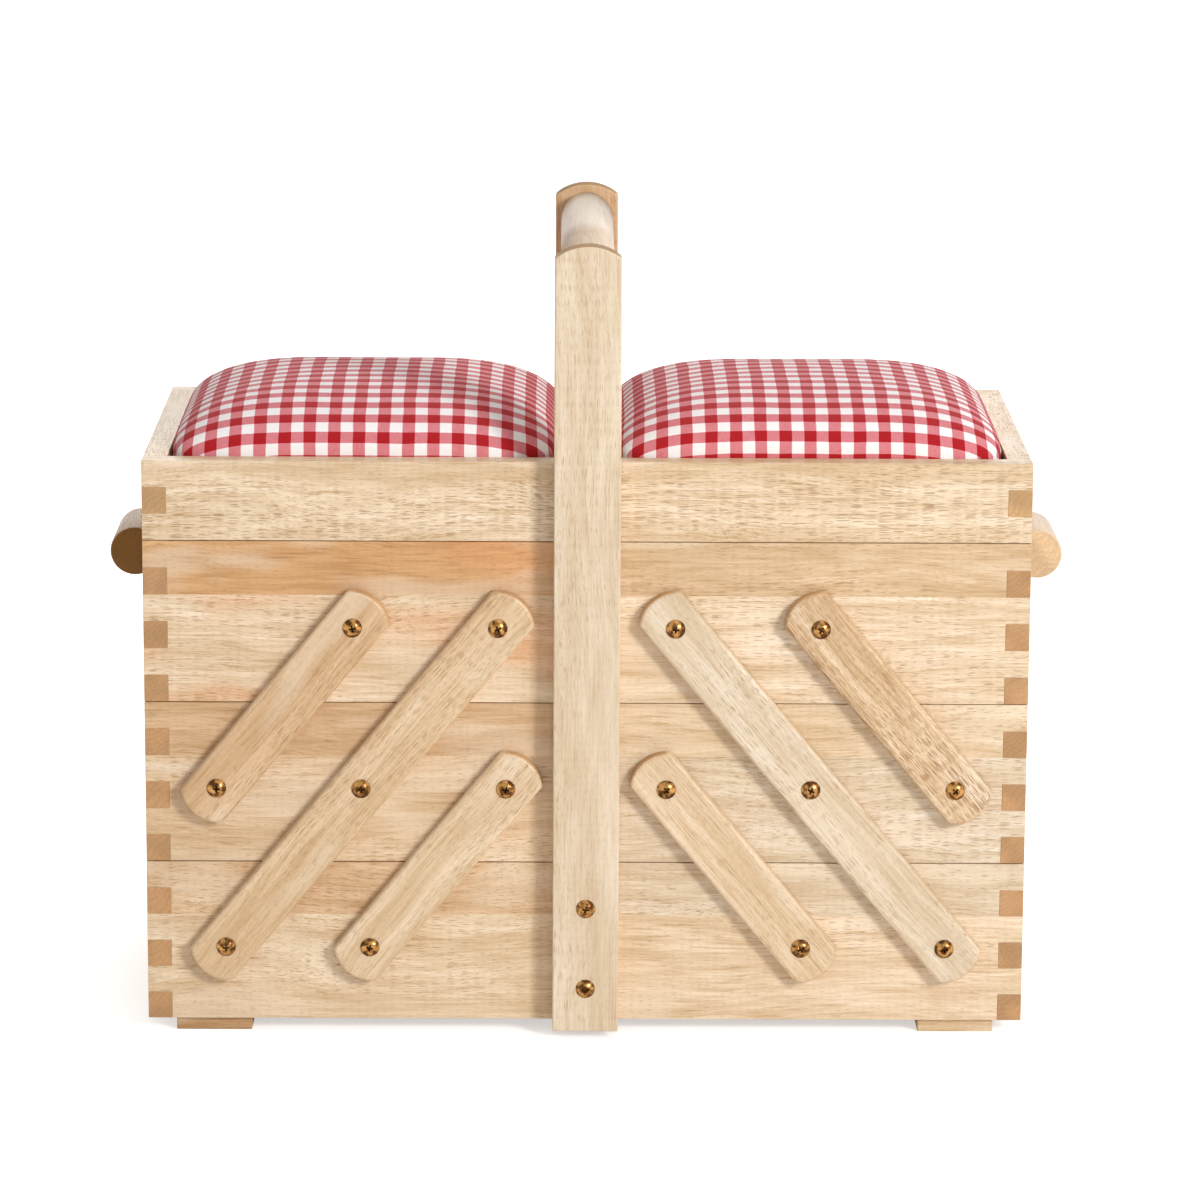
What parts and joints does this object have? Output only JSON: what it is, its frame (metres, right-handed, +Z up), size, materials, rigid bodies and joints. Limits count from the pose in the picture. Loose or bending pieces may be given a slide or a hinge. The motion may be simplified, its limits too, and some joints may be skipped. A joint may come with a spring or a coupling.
{
  "type": "cantilever sewing box",
  "caption": "Wooden cantilever sewing carrier: trays that swing out on link arms, padded hinged lids and a fixed carrying bar.",
  "frame": {"origin": "on the floor under the middle of the closed box", "axes": "+Z up, +X to the right along the box, front towards -Y"},
  "size_m": [0.486, 0.2388, 0.402],
  "materials": {
    "board_wood": "pale finger-jointed rubberwood, satin lacquer",
    "post_wood": "pale rubberwood, satin lacquer",
    "arm_wood": "rubberwood with eased edges, satin lacquer",
    "dowel_wood": "turned and sawn rubberwood, satin lacquer",
    "plywood": "thin plywood, plain",
    "brass": "antiqued brass",
    "gingham": "red and white gingham cotton over padding"
  },
  "bodies": {
    "base": {"base_front_wall": "board_wood", "base_rear_wall": "board_wood", "base_left_wall": "board_wood", "base_right_wall": "board_wood", "base_bottom_panel": "plywood", "base_feet": "dowel_wood", "front_post": "post_wood", "rear_post": "post_wood", "carrying_bar": "dowel_wood", "base_pivot_screws": "brass", "post_screws": "brass"},
    "left_long_arms": {"left_long_arms": "arm_wood"},
    "left_lower_arms": {"left_lower_arms": "arm_wood"},
    "left_upper_arms": {"left_upper_arms": "arm_wood"},
    "left_middle_tray": {"left_middle_front_wall": "board_wood", "left_middle_rear_wall": "board_wood", "left_middle_outer_wall": "board_wood", "left_middle_inner_wall": "board_wood", "left_middle_panel": "plywood", "left_middle_screws": "brass"},
    "left_top_tray": {"left_top_front_wall": "board_wood", "left_top_rear_wall": "board_wood", "left_top_outer_wall": "board_wood", "left_top_inner_wall": "board_wood", "left_top_panel": "plywood", "left_top_screws": "brass", "left_side_handle": "dowel_wood", "left_tray_hinge_leaves": "brass"},
    "left_lid": {"left_lid_front_rail": "board_wood", "left_lid_rear_rail": "board_wood", "left_lid_outer_rail": "board_wood", "left_lid_inner_rail": "board_wood", "left_lid_board": "plywood", "left_cushion": "gingham", "left_lid_hinge_leaves": "brass"},
    "right_long_arms": {"right_long_arms": "arm_wood"},
    "right_lower_arms": {"right_lower_arms": "arm_wood"},
    "right_upper_arms": {"right_upper_arms": "arm_wood"},
    "right_middle_tray": {"right_middle_front_wall": "board_wood", "right_middle_rear_wall": "board_wood", "right_middle_outer_wall": "board_wood", "right_middle_inner_wall": "board_wood", "right_middle_panel": "plywood", "right_middle_screws": "brass"},
    "right_top_tray": {"right_top_front_wall": "board_wood", "right_top_rear_wall": "board_wood", "right_top_outer_wall": "board_wood", "right_top_inner_wall": "board_wood", "right_top_panel": "plywood", "right_top_screws": "brass", "right_side_handle": "dowel_wood", "right_tray_hinge_leaves": "brass"},
    "right_lid": {"right_lid_front_rail": "board_wood", "right_lid_rear_rail": "board_wood", "right_lid_outer_rail": "board_wood", "right_lid_inner_rail": "board_wood", "right_lid_board": "plywood", "right_cushion": "gingham", "right_lid_hinge_leaves": "brass"}
  },
  "joints": [
    {"name": "left_fold", "type": "hinge", "parent": "base", "child": "left_long_arms", "pos_m": [-0.18, 0, 0.0465], "axis": [0, -1, 0], "range_deg": [0, 79]},
    {"name": "left_lower_arm_pivot", "type": "hinge", "parent": "base", "child": "left_lower_arms", "pos_m": [-0.108, 0, 0.0465], "axis": [0, -1, 0], "range_deg": [0, 79]},
    {"name": "left_middle_tray_pivot", "type": "hinge", "parent": "left_long_arms", "child": "left_middle_tray", "pos_m": [-0.112, 0, 0.1285], "axis": [0, -1, 0], "range_deg": [-79, 0]},
    {"name": "left_top_tray_pivot", "type": "hinge", "parent": "left_long_arms", "child": "left_top_tray", "pos_m": [-0.044, 0, 0.2105], "axis": [0, -1, 0], "range_deg": [-79, 0]},
    {"name": "left_upper_arm_pivot", "type": "hinge", "parent": "left_middle_tray", "child": "left_upper_arms", "pos_m": [-0.184, 0, 0.1285], "axis": [0, -1, 0], "range_deg": [0, 79]},
    {"name": "left_lid_hinge", "type": "hinge", "parent": "left_top_tray", "child": "left_lid", "pos_m": [-0.2227, 0, 0.2528], "axis": [0, -1, 0], "range_deg": [0, 112]},
    {"name": "right_fold", "type": "hinge", "parent": "base", "child": "right_long_arms", "pos_m": [0.18, 0, 0.0465], "axis": [0, 1, 0], "range_deg": [0, 79]},
    {"name": "right_lower_arm_pivot", "type": "hinge", "parent": "base", "child": "right_lower_arms", "pos_m": [0.108, 0, 0.0465], "axis": [0, 1, 0], "range_deg": [0, 79]},
    {"name": "right_middle_tray_pivot", "type": "hinge", "parent": "right_long_arms", "child": "right_middle_tray", "pos_m": [0.112, 0, 0.1285], "axis": [0, 1, 0], "range_deg": [-79, 0]},
    {"name": "right_top_tray_pivot", "type": "hinge", "parent": "right_long_arms", "child": "right_top_tray", "pos_m": [0.044, 0, 0.2105], "axis": [0, 1, 0], "range_deg": [-79, 0]},
    {"name": "right_upper_arm_pivot", "type": "hinge", "parent": "right_middle_tray", "child": "right_upper_arms", "pos_m": [0.184, 0, 0.1285], "axis": [0, 1, 0], "range_deg": [0, 79]},
    {"name": "right_lid_hinge", "type": "hinge", "parent": "right_top_tray", "child": "right_lid", "pos_m": [0.2227, 0, 0.2528], "axis": [0, 1, 0], "range_deg": [0, 112]}
  ],
  "couplings": [
    {"joint": "left_lower_arm_pivot", "follows": "left_fold", "ratio": 1},
    {"joint": "left_middle_tray_pivot", "follows": "left_fold", "ratio": -1},
    {"joint": "left_top_tray_pivot", "follows": "left_fold", "ratio": -1},
    {"joint": "left_upper_arm_pivot", "follows": "left_fold", "ratio": 1},
    {"joint": "right_lower_arm_pivot", "follows": "right_fold", "ratio": 1},
    {"joint": "right_middle_tray_pivot", "follows": "right_fold", "ratio": -1},
    {"joint": "right_top_tray_pivot", "follows": "right_fold", "ratio": -1},
    {"joint": "right_upper_arm_pivot", "follows": "right_fold", "ratio": 1}
  ]
}
